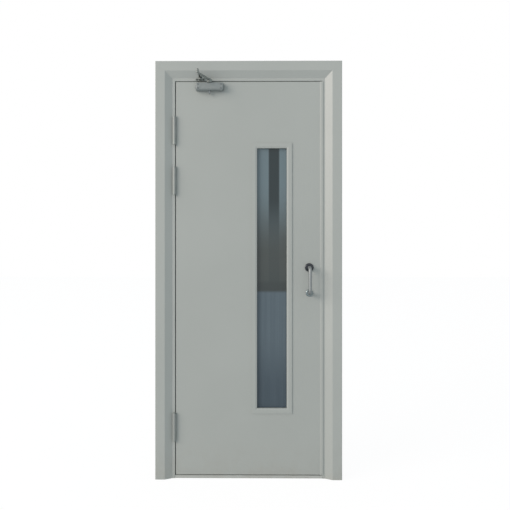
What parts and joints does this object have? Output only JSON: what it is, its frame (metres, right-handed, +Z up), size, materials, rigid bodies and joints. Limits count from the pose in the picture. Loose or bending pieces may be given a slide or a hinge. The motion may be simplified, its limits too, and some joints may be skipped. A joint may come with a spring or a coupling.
{
  "type": "fire door",
  "caption": "Steel fire door in a folded metal frame with a narrow fire-glass panel, pull handle, butt hinges and an overhead closer with a folding arm.",
  "frame": {"origin": "on the finished floor, in the middle of the frame's outer width and of its depth", "axes": "+X along the door from the hinge edge to the lock edge, +Y back through the door away from the side that it opens to, +Z up"},
  "size_m": [0.937, 0.258, 2.1],
  "materials": {
    "frame_paint": "satin",
    "leaf_paint": "satin",
    "zinc_sheet": "satin",
    "hinge_steel": "satin",
    "screw_steel": "gloss",
    "seal_rubber": "matte",
    "fire_strip": "matte",
    "mineral_board": "matte",
    "setting_block": "matte",
    "fire_glass": "polished",
    "handle_chrome": "polished",
    "closer_casting": "satin",
    "arm_paint": "satin"
  },
  "bodies": {
    "frame": {"jamb_hinge_side": "frame_paint", "jamb_lock_side": "frame_paint", "frame_head": "frame_paint", "threshold": "frame_paint", "fixing_sleeves": "zinc_sheet", "wall_anchors": "zinc_sheet", "stop_seal_hinge_side": "seal_rubber", "stop_seal_lock_side": "seal_rubber", "stop_seal_head": "seal_rubber", "fire_strips": "fire_strip", "hinge_backing_frame": "zinc_sheet", "hinge_screws_frame": "screw_steel", "hinge_frame_half_bottom": "hinge_steel", "hinge_frame_half_middle": "hinge_steel", "hinge_frame_half_top": "hinge_steel", "hinge_pin_bottom": "hinge_steel", "hinge_pin_middle": "hinge_steel", "hinge_pin_top": "hinge_steel", "closer_shoe": "arm_paint", "shoe_pin": "screw_steel", "shoe_screws": "screw_steel"},
    "leaf": {"leaf_front_skin": "leaf_paint", "leaf_back_skin": "leaf_paint", "leaf_core": "mineral_board", "stile_hinge_side": "zinc_sheet", "stile_lock_side": "zinc_sheet", "rail_top": "zinc_sheet", "rail_bottom": "zinc_sheet", "closer_support": "zinc_sheet", "lock_edge_strip": "leaf_paint", "vision_lining": "zinc_sheet", "glazing_bead_front": "leaf_paint", "glazing_bead_back": "leaf_paint", "glazing_gasket_front": "seal_rubber", "glazing_gasket_back": "seal_rubber", "fire_glass": "fire_glass", "glass_setting_blocks": "setting_block", "bead_screws": "screw_steel", "pull_handle": "handle_chrome", "handle_rose_upper": "handle_chrome", "handle_rose_lower": "handle_chrome", "handle_bolts": "screw_steel", "handle_back_caps": "handle_chrome", "closer_body": "closer_casting", "closer_plugs": "closer_casting", "closer_mounting_plate": "zinc_sheet", "closer_screws": "screw_steel", "hinge_backing_leaf": "zinc_sheet", "hinge_screws_leaf": "screw_steel", "hinge_leaf_half_bottom": "hinge_steel", "hinge_leaf_half_middle": "hinge_steel", "hinge_leaf_half_top": "hinge_steel"},
    "main_arm": {"closer_spindle": "screw_steel", "main_arm": "arm_paint", "arm_screw": "screw_steel"},
    "forearm": {"forearm_tube": "arm_paint", "forearm_rod": "screw_steel", "forearm_nut": "screw_steel", "elbow_screw": "screw_steel"}
  },
  "joints": [
    {"name": "leaf_swing", "type": "hinge", "parent": "frame", "child": "leaf", "pos_m": [-0.3733, -0.046, 1], "axis": [0, 0, -1], "range_deg": [0, 100], "stiffness_Nm_per_rad": 6, "springref_deg": -85.94},
    {"name": "main_arm_swing", "type": "hinge", "parent": "leaf", "child": "main_arm", "pos_m": [-0.1958, -0.055, 2], "axis": [0, 0, -1], "range_deg": [0, 75]},
    {"name": "forearm_swing", "type": "hinge", "parent": "frame", "child": "forearm", "pos_m": [-0.2433, -0.0575, 2.0146], "axis": [0, 0, -1], "range_deg": [0, 84]}
  ],
  "couplings": [
    {"joint": "main_arm_swing", "follows": "leaf_swing", "ratio": 0.7468},
    {"joint": "forearm_swing", "follows": "leaf_swing", "ratio": 0.8372}
  ]
}
